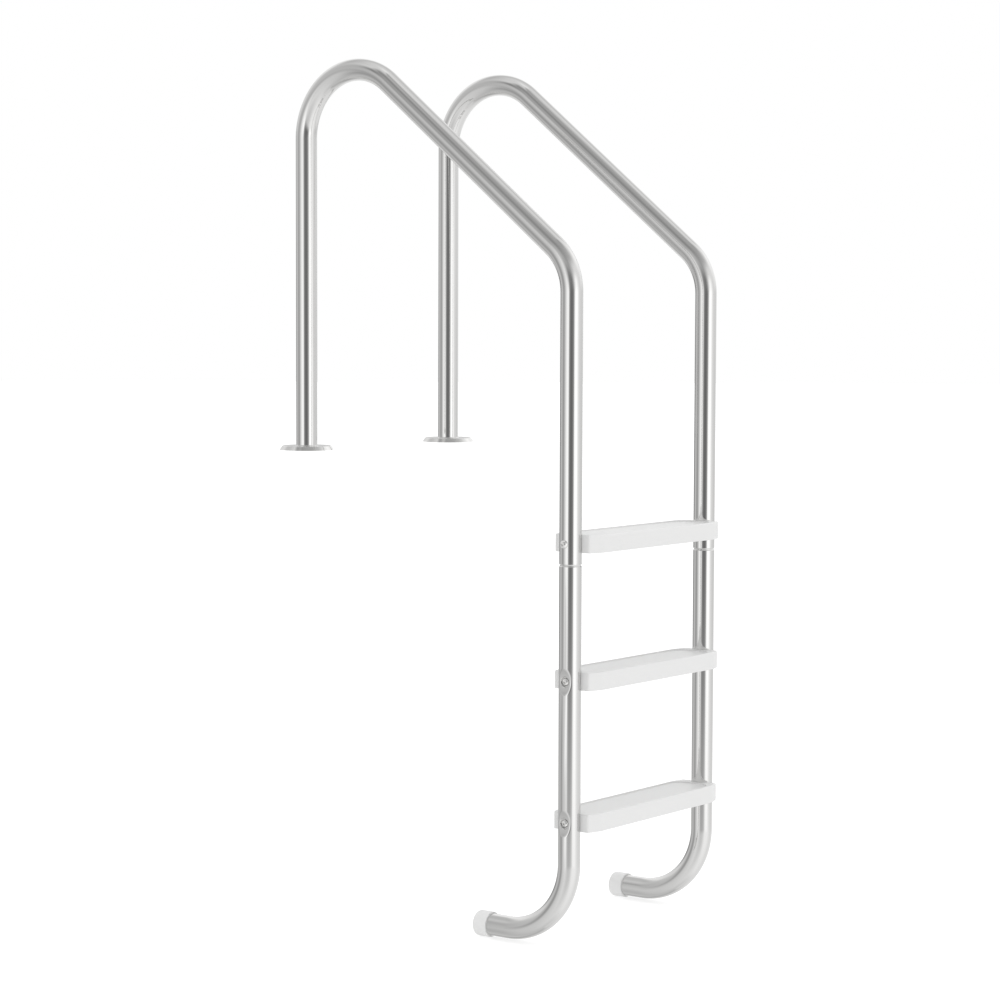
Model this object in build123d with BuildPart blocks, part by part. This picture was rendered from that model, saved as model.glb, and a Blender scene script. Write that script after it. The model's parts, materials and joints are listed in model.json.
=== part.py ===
"""Pool ladder: two bent stainless rails, three moulded treads, deck flanges under sliding covers.

Frame: the origin is on the deck, midway between the two deck flanges. +X runs across the ladder,
+Y runs away from the pool and +Z is up, so the stiles hang down into the water at negative Y.
Left is -X and right is +X, as seen by someone who climbs out of the pool. Millimetres.
"""

import os
from math import cos, radians, sqrt

from build123d import *

os.makedirs("parts", exist_ok=True)

# ---- Rails ------------------------------------------------------------------------------------
rail_spacing = 457.6  # between the centre lines of the two rails
tube_radius = 21.2
tube_wall = 1.5
bore_radius = tube_radius - tube_wall

stile_y = -650.0  # centre line of the stiles, which carry the treads
grab_corner_height = 890.0  # where the leg's and the slope's centre lines would meet
shoulder_corner_height = 366.0  # where the slope's and the stile's centre lines would meet
grab_bend_radius = 130.0
shoulder_bend_radius = 110.0
foot_bend_radius = 140.0
foot_height = -898.0  # centre line of the tube's last run, which points back at the pool wall
tube_end_y = -442.0

seam_height = -194.0  # upper and lower rail meet here
seam_groove_depth = 1.2  # rolled groove where the two tube ends meet
seam_groove_radius = 2.6

sides = {"left": -1, "right": 1}

# ---- Treads and the bolts that hold them ------------------------------------------------------
bolt_heights = {"upper": -154.0, "middle": -412.0, "lower": -679.0}
tread_above_bolt = 17.0
tread_thickness = 34.0
tread_length = 444.0
tread_width = 95.0
tread_end_front = 38.5  # how far the narrowed end reaches to the front of the stile's centre line
tread_end_back = 41.0
tread_taper_length = 30.0
tread_end_corner = 4.0
tread_shoulder_bend = 40.0
tread_nose_radius = 3.0
tread_foot_radius = 1.0
tread_skin = 3.5
pan_depth = 2.5  # the top is a shallow pan inside a raised rim
pan_length = 396.0
pan_width = 84.0
pan_corner_radius = 25.0
pan_floor_radius = 1.5
tread_end_block = 46.0  # solid length at each end, which holds the saddle and the nut
saddle_clearance = 0.1
boss_wall = 8.0  # plastic between the saddle and the nut pocket
nut_pocket_length = 16.0
nut_pocket_width = 17.0
rib_thickness = 2.5
rib_setback = 3.0  # the ribs end a little above the rim
cross_rib_count = 5
overcut = 2.0  # how far a cut or a rib runs on into its neighbour

bolt_radius = 4.0
bolt_hole_radius = 4.25
head_radius = 7.5
head_height = 4.4
head_rim = 0.8
head_flat_radius = 4.2
bolt_tip_chamfer = 0.8
socket_across_flats = 6.0
socket_depth = 2.6
upper_bolt_length = 65.0
lower_bolt_length = 55.0
saddle_washer_crest = 0.8
saddle_washer_radius = 7.8
washer_radius = 8.0
washer_thickness = 1.6
nut_across_flats = 13.0
nut_height = 6.6
nut_corner_cut = 0.9
nut_collar_radius = 5.6
nut_collar_height = 1.4

# ---- Pressed seats of the middle and lower bolts ----------------------------------------------
dent_depth = 5.0
dent_half_length = 25.0
cup_radius = 9.2
cup_depth = 3.2
cup_seat = tube_radius - dent_depth - cup_depth  # distance of the head's seat from the tube's axis

# ---- Joint between upper and lower rail -------------------------------------------------------
sleeve_half_length = 80.0
sleeve_wall = 2.0
sleeve_slip = 0.1
sleeve_chamfer = 1.0

# ---- Deck flange and its cover ----------------------------------------------------------------
flange_radius = 45.0
flange_thickness = 5.0
flange_chamfer = 0.8
weld_leg = 1.8
anchor_circle_diameter = 66.0
anchor_hole_radius = 3.3
anchor_sink_radius = 6.2
anchor_count = 4
cover_base_radius = 54.0
cover_top_radius = 48.6
cover_height = 8.5
cover_sheet = 1.2
cover_slip = 0.6
cover_lip_height = 1.4
cover_rim_rounding = 2.0
cover_lip_rounding = 0.5
cover_inner_rounding = 0.8

# ---- End caps ---------------------------------------------------------------------------------
cap_radius = 24.5
cap_length = 32.0
cap_end_thickness = 4.0
cap_end_rounding = 5.0
cap_mouth_rounding = 0.8


def rail_x(side):
    """Centre line of the rail on one side."""
    return sides[side] * rail_spacing / 2


def outward_plane(side, z, distance):
    """Plane across a bolt: origin on the bolt's axis, normal out of the ladder."""
    x = rail_x(side) + sides[side] * distance
    return Plane(origin=(x, stile_y, z), x_dir=(0, 1, 0), z_dir=(sides[side], 0, 0))


def bolt_profile_plane(side, z, distance):
    """Plane that holds a bolt's axis: local X points out of the ladder, local Y is up."""
    x = rail_x(side) + sides[side] * distance
    return Plane(origin=(x, stile_y, z), x_dir=(sides[side], 0, 0), z_dir=(0, -sides[side], 0))


def cut_seam_groove(side):
    """Take this rail's half of the rolled groove out of the part that is being built."""
    ring_x = rail_x(side) + tube_radius - seam_groove_depth + seam_groove_radius
    with BuildSketch(Plane(origin=(ring_x, stile_y, seam_height), z_dir=(0, -1, 0))) as ring_section:
        Circle(seam_groove_radius)
    revolve(ring_section.sketch, axis=Axis((rail_x(side), stile_y, 0), (0, 0, 1)), mode=Mode.SUBTRACT)


# ---- Upper rails: deck leg, grab rail and the top of the stile, one bent tube each ------------
for side in sides:
    with BuildPart() as upper_rail:
        with BuildLine(Plane.YZ.offset(rail_x(side))) as upper_path:
            FilletPolyline(
                (0, 0),
                (0, grab_corner_height),
                (stile_y, shoulder_corner_height),
                (stile_y, seam_height),
                radius=[grab_bend_radius, shoulder_bend_radius],
            )
        with BuildSketch(Plane(origin=(rail_x(side), 0, 0))):
            Circle(tube_radius)
            Circle(bore_radius, mode=Mode.SUBTRACT)
        sweep(path=upper_path.wires()[0])
        cut_seam_groove(side)
        with BuildSketch(outward_plane(side, bolt_heights["upper"], 2 * tube_radius)):
            Circle(bolt_hole_radius)
        extrude(amount=-4 * tube_radius, mode=Mode.SUBTRACT)
    upper_rail.part.label = f"upper_rail_{side}"
    export_step(upper_rail.part, f"parts/upper_rail_{side}.step")

# ---- Lower rails: the stile's wet end, with two pressed bolt seats and the bend to the wall ----
for side in sides:
    lower_bolts = [bolt_heights["middle"], bolt_heights["lower"]]
    pressed_floors = []
    for height in lower_bolts:
        with BuildPart() as pressed_floor:
            with BuildSketch(bolt_profile_plane(side, height, 0)):
                with BuildLine():
                    floor = tube_radius - dent_depth - tube_wall
                    crest = tube_radius - tube_wall
                    ThreePointArc((crest, -dent_half_length), (floor, 0), (crest, dent_half_length))
                    Polyline(
                        (crest, dent_half_length),
                        (tube_radius, dent_half_length),
                        (tube_radius, -dent_half_length),
                        (crest, -dent_half_length),
                    )
                make_face()
            extrude(amount=tube_radius, both=True)
            with BuildSketch(outward_plane(side, height, cup_seat - tube_wall)):
                Circle(cup_radius + tube_wall)
            extrude(amount=tube_radius - cup_seat)
            with BuildSketch(Plane(origin=(rail_x(side), stile_y, height))):
                Circle(tube_radius)
            extrude(amount=2 * dent_half_length, both=True, mode=Mode.INTERSECT)
        pressed_floors.append(pressed_floor.part)

    with BuildPart() as lower_rail:
        with BuildLine(Plane.YZ.offset(rail_x(side))) as lower_path:
            FilletPolyline(
                (stile_y, seam_height),
                (stile_y, foot_height),
                (tube_end_y, foot_height),
                radius=[foot_bend_radius],
            )
        with BuildSketch(Plane(origin=(rail_x(side), stile_y, seam_height))):
            Circle(tube_radius)
            Circle(bore_radius, mode=Mode.SUBTRACT)
        sweep(path=lower_path.wires()[0])
        cut_seam_groove(side)
        for height, pressed_part in zip(lower_bolts, pressed_floors):
            add(pressed_part)
            with BuildSketch(bolt_profile_plane(side, height, 0)):
                with BuildLine():
                    outside = tube_radius + overcut
                    ThreePointArc(
                        (tube_radius, -dent_half_length),
                        (tube_radius - dent_depth, 0),
                        (tube_radius, dent_half_length),
                    )
                    Polyline(
                        (tube_radius, dent_half_length),
                        (outside, dent_half_length),
                        (outside, -dent_half_length),
                        (tube_radius, -dent_half_length),
                    )
                make_face()
            extrude(amount=tube_radius, both=True, mode=Mode.SUBTRACT)
            with BuildSketch(outward_plane(side, height, cup_seat)):
                Circle(cup_radius)
            extrude(amount=tube_radius, mode=Mode.SUBTRACT)
            with BuildSketch(outward_plane(side, height, 2 * tube_radius)):
                Circle(bolt_hole_radius)
            extrude(amount=-4 * tube_radius, mode=Mode.SUBTRACT)
    lower_rail.part.label = f"lower_rail_{side}"
    export_step(lower_rail.part, f"parts/lower_rail_{side}.step")

# ---- Joint sleeves: pressed into the lower rail, a slip fit in the upper rail ------------------
for side in sides:
    with BuildPart() as joint_sleeve:
        with BuildSketch(Plane(origin=(rail_x(side), stile_y, seam_height))):
            Circle(bore_radius)
        extrude(amount=-sleeve_half_length)
        with BuildSketch(Plane(origin=(rail_x(side), stile_y, seam_height))):
            Circle(bore_radius - sleeve_slip)
        extrude(amount=sleeve_half_length)
        chamfer(joint_sleeve.edges().group_by(Axis.Z)[-1], sleeve_chamfer)
        chamfer(joint_sleeve.edges().group_by(Axis.Z)[0], sleeve_chamfer)
        with BuildSketch(Plane(origin=(rail_x(side), stile_y, seam_height))):
            Circle(bore_radius - sleeve_wall)
        extrude(amount=sleeve_half_length, both=True, mode=Mode.SUBTRACT)
        with BuildSketch(outward_plane(side, bolt_heights["upper"], 2 * tube_radius)):
            Circle(bolt_hole_radius)
        extrude(amount=-4 * tube_radius, mode=Mode.SUBTRACT)
    joint_sleeve.part.label = f"joint_sleeve_{side}"
    export_step(joint_sleeve.part, f"parts/joint_sleeve_{side}.step")

# ---- Deck flanges: a plate round the leg's end, with its weld and four countersunk holes -------
for side in sides:
    with BuildPart() as deck_flange:
        with BuildSketch(Plane(origin=(rail_x(side), 0, 0))):
            Circle(flange_radius)
        extrude(amount=flange_thickness)
        chamfer(deck_flange.edges().group_by(Axis.Z)[-1], flange_chamfer)
        with BuildSketch(Plane.XZ):
            with BuildLine():
                foot_x = rail_x(side) + tube_radius
                Polyline(
                    (foot_x, flange_thickness),
                    (foot_x + weld_leg, flange_thickness),
                    (foot_x, flange_thickness + weld_leg),
                    close=True,
                )
            make_face()
        revolve(axis=Axis((rail_x(side), 0, 0), (0, 0, 1)))
        with BuildSketch(Plane(origin=(rail_x(side), 0, 0))):
            Circle(tube_radius)
        extrude(amount=2 * flange_thickness, mode=Mode.SUBTRACT)
        with Locations(Plane(origin=(rail_x(side), 0, flange_thickness))):
            with PolarLocations(anchor_circle_diameter / 2, anchor_count, start_angle=45):
                CounterSinkHole(anchor_hole_radius, anchor_sink_radius, counter_sink_angle=90)
    deck_flange.part.label = f"deck_flange_{side}"
    export_step(deck_flange.part, f"parts/deck_flange_{side}.step")

# ---- Flange covers: pressed sheet discs that slide up the legs ---------------------------------
for side in sides:
    with BuildPart() as flange_cover:
        with BuildSketch(Plane.XZ):
            with BuildLine():
                centre_x = rail_x(side)
                hole = centre_x + tube_radius + cover_slip
                slope = (cover_base_radius - cover_top_radius) / cover_height
                ceiling = cover_height - cover_sheet
                inner_base = centre_x + cover_base_radius - cover_sheet * sqrt(1 + slope**2)
                lip_bend = cover_sheet / 2
                rim_bend = cover_rim_rounding
                lip_edge = cover_lip_rounding
                inner_bend = cover_inner_rounding
                FilletPolyline(
                    (centre_x + cover_base_radius, 0),
                    (centre_x + cover_top_radius, cover_height),
                    (hole + cover_sheet, cover_height),
                    (hole + cover_sheet, cover_height + cover_lip_height),
                    (hole, cover_height + cover_lip_height),
                    (hole, ceiling),
                    (inner_base - slope * ceiling, ceiling),
                    (inner_base, 0),
                    radius=[rim_bend, lip_bend, lip_edge, lip_edge, lip_edge, inner_bend],
                )
                Line((inner_base, 0), (centre_x + cover_base_radius, 0))
            make_face()
        revolve(axis=Axis((rail_x(side), 0, 0), (0, 0, 1)))
    flange_cover.part.label = f"flange_cover_{side}"
    export_step(flange_cover.part, f"parts/flange_cover_{side}.step")

# ---- End caps: soft plastic bumpers over the rails' wet ends -----------------------------------
for side in sides:
    cap_end_y = tube_end_y + cap_end_thickness
    with BuildPart() as end_cap:
        with BuildSketch(Plane(origin=(rail_x(side), cap_end_y, foot_height), z_dir=(0, -1, 0))):
            Circle(cap_radius)
        extrude(amount=cap_length)
        fillet(end_cap.edges().group_by(Axis.Y)[-1], cap_end_rounding)
        fillet(end_cap.edges().group_by(Axis.Y)[0], cap_mouth_rounding)
        with BuildSketch(Plane(origin=(rail_x(side), tube_end_y, foot_height), z_dir=(0, -1, 0))):
            Circle(tube_radius)
        extrude(amount=cap_length, mode=Mode.SUBTRACT)
    end_cap.part.label = f"end_cap_{side}"
    export_step(end_cap.part, f"parts/end_cap_{side}.step")

# ---- Treads: one moulding each, hollow underneath, with a saddle round each stile ---------------
for position, bolt_height in bolt_heights.items():
    top = bolt_height + tread_above_bolt
    bottom = top - tread_thickness
    saddle_radius = tube_radius + saddle_clearance
    pocket_start = rail_spacing / 2 - saddle_radius - boss_wall
    cavity_length = tread_length - 2 * tread_end_block

    with BuildPart() as tread:
        # outer form, drawn in at both ends; nosed top edge, shallow pan on top
        with BuildSketch(Plane(origin=(0, stile_y, bottom))):
            with BuildLine():
                end = tread_length / 2
                front = -tread_width / 2
                back = tread_width / 2
                shoulder = end - tread_taper_length
                half_radii = [
                    tread_shoulder_bend,
                    tread_end_corner,
                    tread_end_corner,
                    tread_shoulder_bend,
                ]
                FilletPolyline(
                    (shoulder, front),
                    (end, -tread_end_front),
                    (end, tread_end_back),
                    (shoulder, back),
                    (-shoulder, back),
                    (-end, tread_end_back),
                    (-end, -tread_end_front),
                    (-shoulder, front),
                    radius=half_radii + half_radii[::-1],
                    close=True,
                )
            make_face()
        extrude(amount=tread_thickness)
        fillet(tread.edges().group_by(Axis.Z)[-1], tread_nose_radius)
        fillet(tread.edges().group_by(Axis.Z)[0], tread_foot_radius)
        with BuildSketch(Plane(origin=(0, stile_y, top))):
            RectangleRounded(pan_length, pan_width, pan_corner_radius)
        extrude(amount=-pan_depth, mode=Mode.SUBTRACT)
        pan_floor = top - pan_depth
        pan_edges = tread.edges().filter_by_position(Axis.Z, pan_floor, pan_floor)
        fillet(pan_edges, pan_floor_radius)

        # hollow underside
        cavity_top = pan_floor - tread_skin
        with BuildSketch(Plane(origin=(0, stile_y, bottom))):
            Rectangle(cavity_length, tread_width - 2 * tread_skin)
        extrude(amount=cavity_top - bottom, mode=Mode.SUBTRACT)

        # ribs: one along the middle and several across, a little short of the rim
        rib_top = cavity_top + tread_skin / 2
        with BuildSketch(Plane(origin=(0, stile_y, rib_top))):
            Rectangle(cavity_length + overcut, rib_thickness)
            with GridLocations(cavity_length / (cross_rib_count + 1), 0, cross_rib_count, 1):
                Rectangle(rib_thickness, tread_width - tread_skin)
        extrude(amount=bottom + rib_setback - rib_top)

        # saddle round each stile, bolt hole behind it and nut pocket open below
        for side in sides:
            with BuildSketch(Plane(origin=(rail_x(side), stile_y, bottom))):
                Circle(saddle_radius)
            extrude(amount=tread_thickness, mode=Mode.SUBTRACT)
            with BuildSketch(outward_plane(side, bolt_height, 0)):
                Circle(bolt_hole_radius)
            extrude(amount=-(saddle_radius + boss_wall + overcut), mode=Mode.SUBTRACT)
            pocket_x = sides[side] * (pocket_start - nut_pocket_length / 2)
            with BuildSketch(Plane(origin=(pocket_x, stile_y, bottom))):
                Rectangle(nut_pocket_length, nut_pocket_width)
            pocket_height = bolt_height + nut_pocket_width / 2 - bottom
            extrude(amount=pocket_height, mode=Mode.SUBTRACT)
    tread.part.label = f"tread_{position}"
    export_step(tread.part, f"parts/tread_{position}.step")

# ---- Fasteners: at each end of each tread a socket-head bolt, a washer and a lock nut ------------
for position, bolt_height in bolt_heights.items():
    for side in sides:
        if position == "upper":
            seat = tube_radius + saddle_washer_crest
            length = upper_bolt_length
        else:
            seat = cup_seat
            length = lower_bolt_length
        outward = Axis((rail_x(side), stile_y, bolt_height), (sides[side], 0, 0))

        with BuildPart() as tread_bolt:
            with BuildSketch(bolt_profile_plane(side, bolt_height, seat)):
                with BuildLine():
                    Polyline(
                        (head_height, 0),
                        (-length, 0),
                        (-length, bolt_radius - bolt_tip_chamfer),
                        (bolt_tip_chamfer - length, bolt_radius),
                        (0, bolt_radius),
                        (0, head_radius),
                        (head_rim, head_radius),
                    )
                    RadiusArc((head_rim, head_radius), (head_height, head_flat_radius), head_radius)
                    Line((head_height, head_flat_radius), (head_height, 0))
                make_face()
            revolve(axis=outward)
            with BuildSketch(outward_plane(side, bolt_height, seat + head_height)):
                RegularPolygon(socket_across_flats / 2, 6, major_radius=False)
            extrude(amount=-socket_depth, mode=Mode.SUBTRACT)
        tread_bolt.part.label = f"tread_bolt_{position}_{side}"
        export_step(tread_bolt.part, f"parts/tread_bolt_{position}_{side}.step")

        washer_distance = -(tube_radius + saddle_clearance + boss_wall)
        with BuildPart() as washer:
            with BuildSketch(outward_plane(side, bolt_height, washer_distance)):
                Circle(washer_radius)
                Circle(bolt_hole_radius, mode=Mode.SUBTRACT)
            extrude(amount=-washer_thickness)
        washer.part.label = f"washer_{position}_{side}"
        export_step(washer.part, f"parts/washer_{position}_{side}.step")

        nut_distance = washer_distance - washer_thickness
        with BuildPart() as lock_nut:
            with BuildSketch(outward_plane(side, bolt_height, nut_distance)):
                RegularPolygon(nut_across_flats / 2, 6, major_radius=False)
            extrude(amount=-nut_height)
            with BuildSketch(bolt_profile_plane(side, bolt_height, nut_distance)):
                with BuildLine():
                    corner_radius = nut_across_flats / 2 / cos(radians(30))
                    Polyline(
                        (0, 0),
                        (0, corner_radius - nut_corner_cut),
                        (-nut_corner_cut / 2, corner_radius),
                        (-nut_height + nut_corner_cut / 2, corner_radius),
                        (-nut_height, corner_radius - nut_corner_cut),
                        (-nut_height, 0),
                        close=True,
                    )
                make_face()
            revolve(axis=outward, mode=Mode.INTERSECT)
            collar_distance = nut_distance - nut_height
            with BuildSketch(outward_plane(side, bolt_height, collar_distance)):
                Circle(nut_collar_radius)
            extrude(amount=-nut_collar_height)
            with BuildSketch(outward_plane(side, bolt_height, nut_distance)):
                Circle(bolt_radius)
            extrude(amount=-2 * nut_height, mode=Mode.SUBTRACT)
        lock_nut.part.label = f"lock_nut_{position}_{side}"
        export_step(lock_nut.part, f"parts/lock_nut_{position}_{side}.step")

# ---- Saddle washers: let the upper bolts' flat heads sit on the round tube -----------------------
for side in sides:
    bolt_height = bolt_heights["upper"]
    seat = tube_radius + saddle_washer_crest
    with BuildPart() as saddle_washer:
        with BuildSketch(outward_plane(side, bolt_height, seat)):
            Circle(saddle_washer_radius)
            Circle(bolt_hole_radius, mode=Mode.SUBTRACT)
        extrude(amount=-tube_radius / 2)
        with BuildSketch(Plane(origin=(rail_x(side), stile_y, bolt_height))):
            Circle(tube_radius)
        extrude(amount=tube_radius, both=True, mode=Mode.SUBTRACT)
    saddle_washer.part.label = f"saddle_washer_{side}"
    export_step(saddle_washer.part, f"parts/saddle_washer_{side}.step")
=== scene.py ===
"""Pool ladder in a plain pale studio: materials, light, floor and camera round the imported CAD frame.

Metres, +Z up. The ladder's frame has its origin on the deck between the two legs, +X across the
ladder, +Y away from the pool. The rails are drawn again here as finer meshes on the CAD's lines and
sizes; every other piece keeps the CAD's shape and gets its finish here.
"""

import json
from math import ceil, cos, degrees, pi, radians, sin, sqrt, tan

import bpy
from mathutils import Matrix, Vector, kdtree


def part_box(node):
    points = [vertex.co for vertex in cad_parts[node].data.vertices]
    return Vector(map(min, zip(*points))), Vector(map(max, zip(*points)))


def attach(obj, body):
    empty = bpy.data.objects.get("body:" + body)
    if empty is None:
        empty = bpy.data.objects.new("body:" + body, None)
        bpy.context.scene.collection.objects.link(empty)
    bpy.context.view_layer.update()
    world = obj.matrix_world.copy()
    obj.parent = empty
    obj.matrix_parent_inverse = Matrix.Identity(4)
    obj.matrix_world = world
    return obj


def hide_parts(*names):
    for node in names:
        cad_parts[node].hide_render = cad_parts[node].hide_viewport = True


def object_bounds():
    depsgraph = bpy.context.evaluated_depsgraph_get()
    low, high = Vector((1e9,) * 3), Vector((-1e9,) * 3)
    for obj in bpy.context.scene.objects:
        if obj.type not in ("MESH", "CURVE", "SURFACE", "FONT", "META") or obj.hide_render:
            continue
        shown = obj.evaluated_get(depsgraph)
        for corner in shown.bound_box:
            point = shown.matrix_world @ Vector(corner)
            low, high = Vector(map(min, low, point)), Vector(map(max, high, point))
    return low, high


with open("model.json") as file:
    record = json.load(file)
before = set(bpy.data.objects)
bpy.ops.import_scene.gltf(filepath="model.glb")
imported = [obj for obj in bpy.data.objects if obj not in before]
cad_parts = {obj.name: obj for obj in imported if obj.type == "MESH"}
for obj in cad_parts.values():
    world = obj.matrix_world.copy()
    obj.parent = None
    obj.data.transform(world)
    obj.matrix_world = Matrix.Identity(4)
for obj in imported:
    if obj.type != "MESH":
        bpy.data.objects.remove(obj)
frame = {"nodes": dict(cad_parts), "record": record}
cad_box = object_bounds()

# ---- Camera and studio, as laid out round the ladder -------------------------------------------
camera_azimuth = radians(-52.97)
camera_elevation = radians(3.97)
camera_roll = radians(0.19)
camera_place = Vector((-4.3829, -3.6184, 0.2815))
focal_length = 98.92  # millimetres
sensor_width = 36.0  # millimetres
nearest_seen = 0.05
farthest_seen = 100.0

# The studio that the steel mirrors: for a few elevations in degrees, the light level by azimuth in
# degrees to the right of the camera's side. Between two elevations the light changes smoothly.
studio_lights = {
    -80: [(-180, 0.55), (-120, 0.65), (-60, 0.69), (0, 0.77), (60, 0.86), (120, 0.82), (180, 0.55)],
    -55: [
        (-180, 0.71), (-158, 0.46), (-130, 0.71), (-95, 0.60), (-45, 0.83), (45, 1.05),
        (150, 0.89), (180, 0.71),
    ],
    -16: [
        (-180, 0.99), (-150, 0.89), (-122, 0.49), (-108, 0.64), (-88, 0.40), (-72, 0.73),
        (-40, 0.91), (-12, 0.72), (8, 0.79), (30, 1.10), (60, 1.13), (100, 0.92), (140, 0.96),
        (180, 1.01),
    ],
    -4: [
        (-180, 0.42), (-165, 0.26), (-145, 0.28), (-128, 0.56), (-116, 0.70), (-92, 0.38),
        (-80, 0.47), (-70, 0.72), (-50, 1.21), (-34, 1.34), (-23, 0.36), (-10, 0.18), (4, 0.17),
        (21, 0.35), (31, 1.29), (50, 1.52), (66, 1.16), (80, 0.92), (120, 0.75), (140, 0.81),
        (160, 0.95), (180, 0.42),
    ],
    13: [
        (-180, 1.06), (-145, 0.83), (-120, 0.87), (-105, 0.68), (-75, 0.59), (-47, 0.98),
        (-33, 0.72), (-18, 0.28), (2, 0.22), (16, 0.42), (38, 1.15), (50, 1.32), (68, 1.05),
        (86, 0.88), (110, 1.00), (150, 1.12), (180, 1.08),
    ],
    31: [
        (-180, 1.08), (-135, 0.97), (-115, 0.69), (-78, 0.56), (-68, 0.28), (-50, 0.50),
        (-35, 0.58), (5, 0.42), (25, 0.62), (50, 0.90), (90, 0.96), (128, 1.24), (152, 0.97),
        (165, 0.89), (180, 1.02),
    ],
    50: [
        (-180, 0.67), (-125, 0.60), (-85, 0.79), (-72, 0.85), (-58, 0.35), (-30, 0.31), (10, 0.42),
        (45, 0.51), (75, 0.63), (105, 0.91), (125, 1.07), (140, 0.69), (180, 0.68),
    ],
    74: [(-180, 0.83), (-38, 0.83), (-26, 0.49), (40, 0.44), (75, 0.47), (95, 0.84), (180, 0.83)],
}
zenith = (90, 1.05)
sky_light = 0.92  # what matt surfaces receive: a plain sky, brighter towards its top and the right
sky_rise = 0.45
sky_slant = 0.25
floor_radius = 40.0
floor_glow = 0.62
floor_sides = 96
floor_grey = 0.5
floor_gap = 0.0005  # below the lowest point of the ladder
stage_y = -0.3  # the middle of the floor and of the top light
top_light_height = 2.6
top_light_width = 3.0
top_light_power = 8.0

# ---- Rails: the CAD's centre lines and sizes, drawn again as finely divided tubes ----------------
tube_wall = 0.0015
grab_corner_height = 0.890
shoulder_corner_height = 0.366
grab_bend_radius = 0.130
shoulder_bend_radius = 0.110
foot_bend_radius = 0.140
seam_groove_depth = 0.0012
seam_groove_radius = 0.0026
dent_depth = 0.005
dent_half_length = 0.025
dent_edge = 0.0012
cup_radius = 0.0092
cup_depth = 0.0032
cup_lip = 0.0011
sharp_angle = radians(32)
around = 128
lathe_segments = 96
quarter_steps = 6
bend_step = radians(1.5)
dent_step = 0.0005
groove_steps = 10  # from the seam to the groove's edge
touching = 1e-6

# ---- Grain of the finishes, in waves per metre ---------------------------------------------------
ring_grain = 2500
ring_drift = 40
spot_grain = 900
steel_cloud = 7.0
plastic_cloud = 12.0

# ---- Unevenness of the finishes: tone, gloss and the height of the grain ------------------------
tone_spread = 0.015
plastic_tone_spread = 0.01
wear_spread = 0.03
gloss_spread = 0.08
steel_lift = 0.05
steel_lift_height = 0.00002
plastic_lift = 0.1
plastic_lift_height = 0.0001


class Nodes:
    """Short way to write a node tree: add nodes, set their inputs and link them."""

    def __init__(self, tree):
        self.tree = tree
        tree.nodes.clear()

    def add(self, kind, settings=None, **inputs):
        node = self.tree.nodes.new(kind)
        for name, value in (settings or {}).items():
            setattr(node, name, value)
        for name, value in inputs.items():
            self.put(node, name, value)
        return node

    def put(self, node, name, value):
        key = int(name[1:]) if name[0] == "i" and name[1:].isdigit() else name.replace("_", " ")
        socket = node.inputs[key]
        if isinstance(value, bpy.types.NodeSocket):
            self.tree.links.new(value, socket)
        else:
            socket.default_value = value

    def math(self, operation, a, b=0.0, c=0.0):
        return self.add("ShaderNodeMath", {"operation": operation}, i0=a, i1=b, i2=c).outputs[0]

    def change(self, value, ends):
        """0 before the first end, 1 after the second, and smooth between them."""
        node = self.add("ShaderNodeMapRange", {"interpolation_type": "SMOOTHSTEP"}, Value=value)
        node.inputs["From Min"].default_value, node.inputs["From Max"].default_value = ends
        return node.outputs[0]

    def mix(self, fac, a, b):
        return self.add("ShaderNodeMix", {"data_type": "FLOAT"}, i0=fac, i2=a, i3=b).outputs[0]

    def ramp(self, fac, stops):
        node = self.add("ShaderNodeValToRGB", Fac=fac)
        ramp = node.color_ramp
        ramp.interpolation = "LINEAR"
        while len(ramp.elements) < len(stops):
            ramp.elements.new(0.5)
        for element, (position, level) in zip(ramp.elements, stops):
            element.position = position
            element.color = (level, level, level, 1.0)
        return node.outputs["Color"]


def make_world():
    world = bpy.data.worlds.new("studio")
    world.use_nodes = True
    bpy.context.scene.world = world
    n = Nodes(world.node_tree)
    direction = n.add("ShaderNodeTexCoord").outputs["Generated"]
    turned = n.add("ShaderNodeMapping", {"vector_type": "POINT"}, Vector=direction)
    turned.inputs["Rotation"].default_value = (0, 0, -camera_azimuth)
    right, away, up = n.add("ShaderNodeSeparateXYZ", Vector=turned.outputs[0]).outputs
    towards = n.math("MULTIPLY", away, -1.0)
    azimuth = n.math("MULTIPLY", n.math("ARCTAN2", right, towards), degrees(1))
    elevation = n.math("MULTIPLY", n.math("ARCSINE", up), degrees(1))
    turn = n.math("MULTIPLY_ADD", azimuth, 1 / 360, 0.5)
    light = None
    for height, lights in studio_lights.items():
        band = n.ramp(turn, [((angle + 180) / 360, level) for angle, level in lights])
        if light is None:
            light = band
        else:
            light = n.mix(n.change(elevation, (below, height)), light, band)
        below = height
    light = n.mix(n.change(elevation, (below, zenith[0])), light, zenith[1])
    path = n.add("ShaderNodeLightPath").outputs
    slope = n.math("MULTIPLY_ADD", up, sky_rise, n.math("MULTIPLY", right, sky_slant))
    sky = n.math("MULTIPLY_ADD", slope, sky_light, sky_light)
    plain = n.mix(path["Is Camera Ray"], sky, 1.0)
    level = n.mix(path["Is Glossy Ray"], plain, light)
    studio = n.add("ShaderNodeBackground", Color=level, Strength=1.0)
    n.add("ShaderNodeOutputWorld", Surface=studio.outputs[0])


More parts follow.
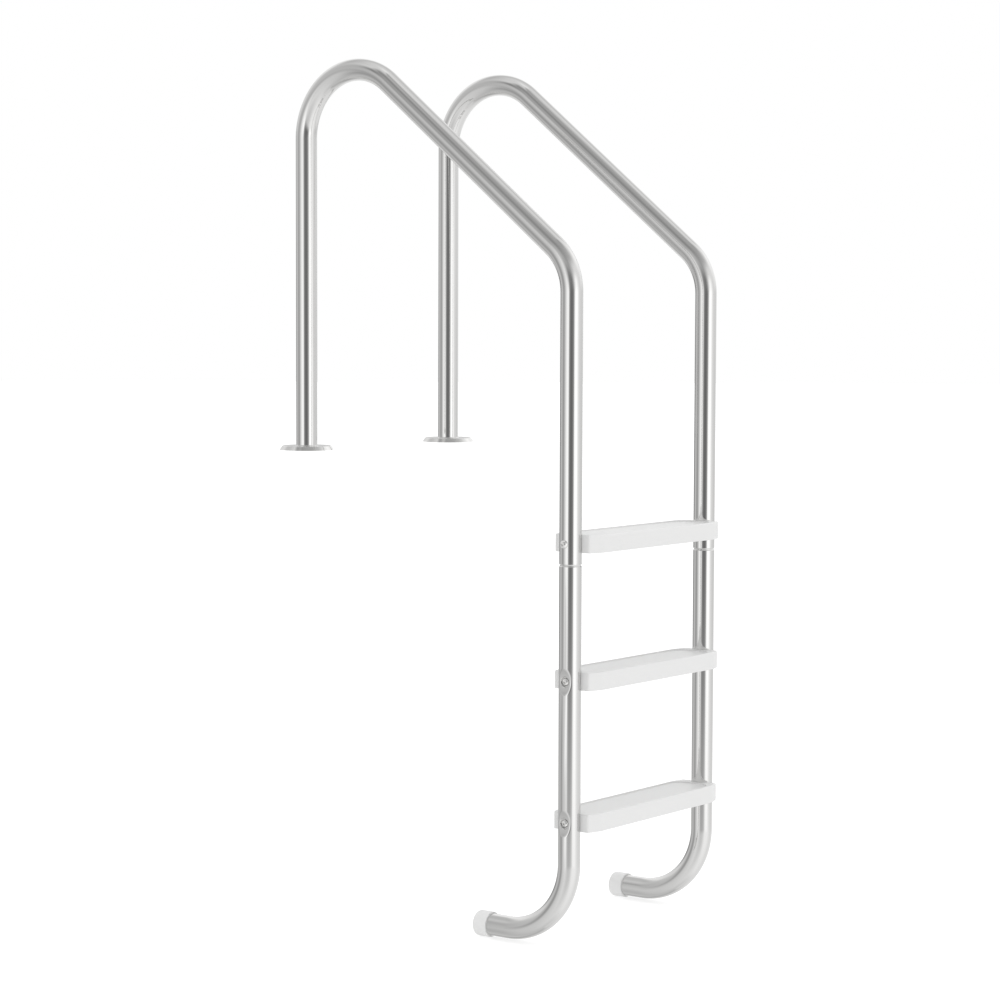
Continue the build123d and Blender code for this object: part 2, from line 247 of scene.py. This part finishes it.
def make_floor():
    lowest = cad_box[0].z
    bpy.ops.mesh.primitive_circle_add(
        vertices=floor_sides,
        radius=floor_radius,
        fill_type="NGON",
        location=(0, stage_y, lowest - floor_gap),
    )
    floor = bpy.context.object
    floor.name = "floor"
    material = bpy.data.materials.new("floor_paper")
    material.use_nodes = True
    n = Nodes(material.node_tree)
    diffuse = n.add("ShaderNodeBsdfDiffuse", Color=(floor_grey, floor_grey, floor_grey, 1))
    glow = n.add("ShaderNodeEmission", Color=(1, 1, 1, 1), Strength=floor_glow)
    both = n.add("ShaderNodeAddShader", i0=diffuse.outputs[0], i1=glow.outputs[0])
    n.add("ShaderNodeOutputMaterial", Surface=both.outputs[0])
    floor.data.materials.append(material)
    floor.visible_glossy = False


def make_top_light():
    data = bpy.data.lights.new("top_light", "AREA")
    data.shape = "DISK"
    data.size = top_light_width
    data.energy = top_light_power
    light = bpy.data.objects.new("top_light", data)
    bpy.context.scene.collection.objects.link(light)
    light.location = (0, stage_y, top_light_height)
    light.visible_glossy = False


def make_camera():
    a, e = camera_azimuth, camera_elevation
    back = Vector((sin(a) * cos(e), -cos(a) * cos(e), sin(e)))
    level_right = Vector((cos(a), sin(a), 0))
    level_up = back.cross(level_right)
    right = level_right * cos(camera_roll) + level_up * sin(camera_roll)
    up = level_up * cos(camera_roll) - level_right * sin(camera_roll)
    data = bpy.data.cameras.new("camera")
    data.lens = focal_length
    data.sensor_width = sensor_width
    data.clip_start = nearest_seen
    data.clip_end = farthest_seen
    camera = bpy.data.objects.new("camera", data)
    bpy.context.scene.collection.objects.link(camera)
    turn = Matrix((right, up, back)).transposed().to_4x4()
    camera.matrix_world = Matrix.Translation(camera_place) @ turn
    bpy.context.scene.camera = camera


# ---- Mesh tools ---------------------------------------------------------------------------------
def add_piece(name, vertices, faces):
    mesh = bpy.data.meshes.new(name)
    mesh.from_pydata(vertices, [], faces)
    mesh.validate()
    mesh.shade_smooth()
    mesh.set_sharp_from_angle(angle=sharp_angle)
    piece = bpy.data.objects.new(name, mesh)
    bpy.context.scene.collection.objects.link(piece)
    return piece


def skin(rings, closed):
    """Quads between rings of vertices, each ring a list of points; closed joins the last to the first."""
    count = len(rings[0])
    vertices = [point for ring in rings for point in ring]
    faces = []
    spans = len(rings) if closed else len(rings) - 1
    for i in range(spans):
        a, b = i * count, (i + 1) % len(rings) * count
        for k in range(count):
            k2 = (k + 1) % count
            faces.append((a + k, a + k2, b + k2, b + k))
    return vertices, faces


def lathe(name, centre, outward, profile):
    """Closed solid of revolution: profile points are (along, radius), from axis to axis."""
    axis = Vector(outward).normalized()
    u = axis.orthogonal().normalized()
    v = axis.cross(u)
    rings = []
    for along, radius in profile[1:-1]:
        base = Vector(centre) + axis * along
        turns = (2 * pi * k / lathe_segments for k in range(lathe_segments))
        rings.append([base + (u * cos(t) + v * sin(t)) * radius for t in turns])
    vertices, faces = skin(rings, closed=False)
    last = len(vertices) - lathe_segments
    vertices += [Vector(centre) + axis * profile[0][0], Vector(centre) + axis * profile[-1][0]]
    first_tip, last_tip = len(vertices) - 2, len(vertices) - 1
    for k in range(lathe_segments):
        k2 = (k + 1) % lathe_segments
        faces.append((first_tip, k2, k))
        faces.append((last_tip, last + k, last + k2))
    return add_piece(name, vertices, faces)


def combine(piece, tool, operation):
    """Boolean with a closed tool, applied at once; the tool goes."""
    cut = piece.modifiers.new("cut", "BOOLEAN")
    cut.operation = operation
    cut.solver = "EXACT"
    cut.object = tool
    graph = bpy.context.evaluated_depsgraph_get()
    mesh = bpy.data.meshes.new_from_object(piece.evaluated_get(graph))
    piece.modifiers.clear()
    mesh.shade_smooth()
    mesh.set_sharp_from_angle(angle=sharp_angle)
    piece.data = mesh
    bpy.data.objects.remove(tool)


def quarter(centre, start, end, radius):
    """Points of an arc between two angles, round a centre in the profile's plane."""
    angles = (start + (end - start) * k / quarter_steps for k in range(quarter_steps + 1))
    return [(centre[0] + radius * cos(a), centre[1] + radius * sin(a)) for a in angles]


# ---- Rails --------------------------------------------------------------------------------------
def bent_line(corners, radii, extra):
    """Stations along a line of straight runs and bends in the YZ plane: place and direction."""
    stations = []

    def add(place, direction):
        if not stations or (place - stations[-1][0]).length > touching:
            stations.append((place, direction))

    start = Vector(corners[0])
    for i, corner in enumerate(corners[1:-1]):
        corner = Vector(corner)
        into = (corner - start).normalized()
        out = (Vector(corners[i + 2]) - corner).normalized()
        turn = into.angle_signed(out) * -1
        reach = radii[i] * tan(abs(turn) / 2)
        bend_start = corner - into * reach
        add_run(add, start, bend_start, into, extra)
        side = Vector((-into.y, into.x)) * (1 if turn > 0 else -1)
        centre = bend_start + side * radii[i]
        steps = ceil(abs(turn) / bend_step)
        for k in range(steps + 1):
            swing = Matrix.Rotation(turn * k / steps, 2)
            add(centre - swing @ side * radii[i], swing @ into)
        start = corner + out * reach
    end = Vector(corners[-1])
    add_run(add, start, end, (end - start).normalized(), extra)
    return stations


def add_run(add, start, end, direction, extra):
    """A straight run: its two ends, and the extra distances from the line's points that lie on it."""
    length = (end - start).length
    inside = []
    for place in extra:
        away = (Vector(place) - start).dot(direction)
        beside = (Vector(place) - start - direction * away).length
        if 0 < away < length and beside < touching:
            inside.append(away)
    for away in [0.0, *sorted(inside), length]:
        add(start + direction * away, direction)


def groove_radius(radius, distance):
    """Tube radius at a distance from the seam, where the two tube ends roll in."""
    if distance >= seam_groove_radius:
        return radius
    rolled = radius - seam_groove_depth + seam_groove_radius - sqrt(seam_groove_radius**2 - distance**2)
    return min(radius, rolled)


def dent_flat(radius, distance):
    """Distance of the pressed seat from the tube's axis, at a height above or below the bolt."""
    press_radius = (dent_half_length**2 + dent_depth**2) / (2 * dent_depth)
    return radius - dent_depth + press_radius - sqrt(press_radius**2 - distance**2)


def soft_min(a, b, edge):
    """The smaller of two values, rounded over where they lie within an edge of each other."""
    gap = max(edge - abs(a - b), 0.0) / edge
    return min(a, b) - gap * gap * edge / 4


def tube_rings(x, side, stations, radius, seam, bolts):
    """The tube's outside as rings of points, with its half of the seam groove and its pressed seats."""
    rings = []
    for place, direction in stations:
        normal = Vector((0, -direction.y, direction.x))
        middle = Vector((x, place.x, place.y))
        r = groove_radius(radius, abs(place.y - seam)) if abs(direction.x) < touching else radius
        near = [z for z in bolts if abs(place.y - z) < dent_half_length]
        ring = []
        for k in range(around):
            turn = 2 * pi * k / around
            across = r * cos(turn) * side
            if near and across * side > 0:
                flat = dent_flat(radius, place.y - near[0])
                across = soft_min(across * side, flat, dent_edge) * side
            ring.append(middle + Vector((across, 0, 0)) + normal * (r * sin(turn)))
        rings.append(ring)
    return rings


def make_rail(name, side, corners, radii, bolts):
    low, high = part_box(name)
    radius = (high.x - low.x) / 2
    x = (high.x + low.x) / 2
    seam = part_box(f"upper_rail_{'left' if side < 0 else 'right'}")[0].z
    stile_y = corners[-1][0] if corners[-1][1] == seam else corners[0][0]
    groove_range = range(-groove_steps - 1, groove_steps + 2)
    groove = [seam_groove_radius * k / groove_steps for k in groove_range]
    extra = [(stile_y, seam + step) for step in groove]
    steps = round(dent_half_length / dent_step)
    for z in bolts:
        extra += [(stile_y, z + dent_step * k) for k in range(-steps, steps + 1)]
    stations = bent_line(corners, radii, extra)
    outside = tube_rings(x, side, stations, radius, seam, bolts)
    bore = []
    for ring, (place, _) in zip(outside, stations):
        middle = Vector((x, place.x, place.y))
        scale = 1 - tube_wall / radius
        if abs(place.y - seam) < seam_groove_radius:
            bore.append([middle + (point - middle).normalized() * (radius - tube_wall) for point in ring])
        else:
            bore.append([middle + (point - middle) * scale for point in ring])
    vertices, faces = skin(outside + bore[::-1], closed=True)
    rail = add_piece(f"{name}_tube", vertices, faces)
    for z in bolts:
        seat = radius - dent_depth - cup_depth
        centre = (x, stile_y, z)
        outward = (side, 0, 0)
        dent_floor = radius - dent_depth
        press_top = dent_floor - dent_edge
        press = [(seat - tube_wall, 0), (seat - tube_wall, cup_radius + tube_wall)]
        press += [(press_top, cup_radius + tube_wall), (press_top, 0)]
        combine(rail, lathe("press", centre, outward, press), "UNION")
        lip_centre = (dent_floor - cup_lip, cup_radius + cup_lip)
        cup = [(seat, 0), (seat, cup_radius)]
        cup += quarter(lip_centre, -pi / 2, 0, cup_lip)
        cup += [(2 * radius, cup_radius + cup_lip + radius), (2 * radius, 0)]
        combine(rail, lathe("cup", centre, outward, cup), "DIFFERENCE")
    note_run(rail, x, stations)
    return rail


def note_run(rail, x, stations):
    """Stores on each point how far along the tube it lies, for the finish's grain."""
    tree = kdtree.KDTree(len(stations))
    runs = [0.0]
    for i, (place, _) in enumerate(stations):
        tree.insert((x, place.x, place.y), i)
        if i:
            runs.append(runs[-1] + (place - stations[i - 1][0]).length)
    tree.balance()
    attribute = rail.data.attributes.new("tube_run", "FLOAT", "POINT")
    for i, vertex in enumerate(rail.data.vertices):
        centre, nearest, _ = tree.find(vertex.co)
        direction = stations[nearest][1]
        along = (vertex.co - centre).dot(Vector((0, direction.x, direction.y)))
        attribute.data[i].value = runs[nearest] + along


def make_rails():
    for side_name, side in (("left", -1), ("right", 1)):
        upper, lower = f"upper_rail_{side_name}", f"lower_rail_{side_name}"
        low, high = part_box(upper)
        radius = (high.x - low.x) / 2
        stile_y = low.y + radius
        seam = low.z
        foot_low, foot_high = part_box(lower)
        foot = foot_low.z + radius
        bolts = [sum(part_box(f"tread_bolt_{p}_{side_name}"), Vector()).z / 2 for p in ("middle", "lower")]
        upper_line = [(0, 0), (0, grab_corner_height), (stile_y, shoulder_corner_height), (stile_y, seam)]
        lower_line = [(stile_y, seam), (stile_y, foot), (foot_high.y, foot)]
        rails = {
            upper: make_rail(upper, side, upper_line, [grab_bend_radius, shoulder_bend_radius], []),
            lower: make_rail(lower, side, lower_line, [foot_bend_radius], bolts),
        }
        for name, rail in rails.items():
            rail.data.materials.append(finishes["rail_steel"])
            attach(rail, "ladder")
            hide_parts(name)


# ---- Materials ----------------------------------------------------------------------------------
def steel(name, tint, roughness, follow_tube=False):
    """Polished steel with a faint grain: round the tube on the rails, even in all directions elsewhere."""
    material = bpy.data.materials.new(name)
    material.use_nodes = True
    n = Nodes(material.node_tree)
    place = n.add("ShaderNodeTexCoord").outputs["Object"]
    if follow_tube:
        run = n.add("ShaderNodeAttribute", {"attribute_name": "tube_run"}).outputs["Fac"]
        rings = n.add("ShaderNodeCombineXYZ", X=n.math("MULTIPLY", run, ring_grain))
        slow = n.add("ShaderNodeVectorMath", {"operation": "SCALE"}, i0=place, Scale=ring_drift)
        grain_place = n.add(
            "ShaderNodeVectorMath", {"operation": "ADD"}, i0=rings.outputs[0], i1=slow.outputs[0]
        ).outputs[0]
        grain = n.add("ShaderNodeTexNoise", Vector=grain_place, Scale=1.0, Detail=3.0).outputs["Fac"]
    else:
        grain = n.add("ShaderNodeTexNoise", Vector=place, Scale=spot_grain, Detail=3.0).outputs["Fac"]
    cloud = n.add("ShaderNodeTexNoise", Vector=place, Scale=steel_cloud, Detail=3.0).outputs["Fac"]
    even_wear = n.math("MULTIPLY_ADD", cloud, wear_spread, roughness - wear_spread)
    wear = n.math("MULTIPLY_ADD", grain, wear_spread, even_wear)
    lift = n.add("ShaderNodeBump", Height=grain, Strength=steel_lift, Distance=steel_lift_height)
    tone = n.add("ShaderNodeMix", {"data_type": "RGBA"}, Factor=cloud)
    tone.inputs["A"].default_value = (*((1 - tone_spread) * c for c in tint), 1)
    tone.inputs["B"].default_value = (*((1 + tone_spread) * c for c in tint), 1)
    shader = n.add("ShaderNodeBsdfPrincipled", Metallic=1.0, Roughness=wear)
    n.put(shader, "Base_Color", tone.outputs["Result"])
    n.put(shader, "Normal", lift.outputs[0])
    n.add("ShaderNodeOutputMaterial", Surface=shader.outputs[0])
    return material


def plastic(name, tint, roughness, grain):
    """Moulded plastic: a fine spark-eroded grain and very slight unevenness of tone and gloss."""
    material = bpy.data.materials.new(name)
    material.use_nodes = True
    n = Nodes(material.node_tree)
    place = n.add("ShaderNodeTexCoord").outputs["Object"]
    fine = n.add("ShaderNodeTexNoise", Vector=place, Scale=grain, Detail=2.0).outputs["Fac"]
    cloud = n.add("ShaderNodeTexNoise", Vector=place, Scale=plastic_cloud, Detail=2.0).outputs["Fac"]
    lift = n.add("ShaderNodeBump", Height=fine, Strength=plastic_lift, Distance=plastic_lift_height)
    tone = n.add("ShaderNodeMix", {"data_type": "RGBA"}, Factor=cloud)
    tone.inputs["A"].default_value = (*((1 - plastic_tone_spread) * c for c in tint), 1)
    tone.inputs["B"].default_value = (*((1 + plastic_tone_spread) * c for c in tint), 1)
    gloss = n.math("MULTIPLY_ADD", cloud, gloss_spread, roughness - gloss_spread / 2)
    shader = n.add("ShaderNodeBsdfPrincipled", Roughness=gloss)
    n.put(shader, "Base_Color", tone.outputs["Result"])
    n.put(shader, "Normal", lift.outputs[0])
    n.add("ShaderNodeOutputMaterial", Surface=shader.outputs[0])
    return material


finishes = {
    "rail_steel": steel("satin_rail_steel", (0.73, 0.727, 0.72), 0.055, follow_tube=True),
    "fitting_steel": steel("fitting_steel", (0.6, 0.6, 0.59), 0.3),
    "cover_steel": steel("polished_cover_steel", (0.76, 0.757, 0.75), 0.1),
    "fastener_steel": steel("fastener_steel", (0.9, 0.895, 0.885), 0.2),
    "tread_plastic": plastic("tread_plastic", (0.665, 0.665, 0.662), 0.42, 1500),
    "cap_plastic": plastic("cap_plastic", (0.70, 0.70, 0.697), 0.5, 1200),
}


def dress_nodes():
    slots = {part["node"]: part["material_slot"] for part in frame["record"]["subparts"]}
    for name, node in frame["nodes"].items():
        material = finishes[slots[name]]
        for slot in node.material_slots:
            slot.material = material


make_camera()
make_world()
make_floor()
make_top_light()
dress_nodes()
make_rails()
bpy.context.scene.view_settings.view_transform = "Standard"
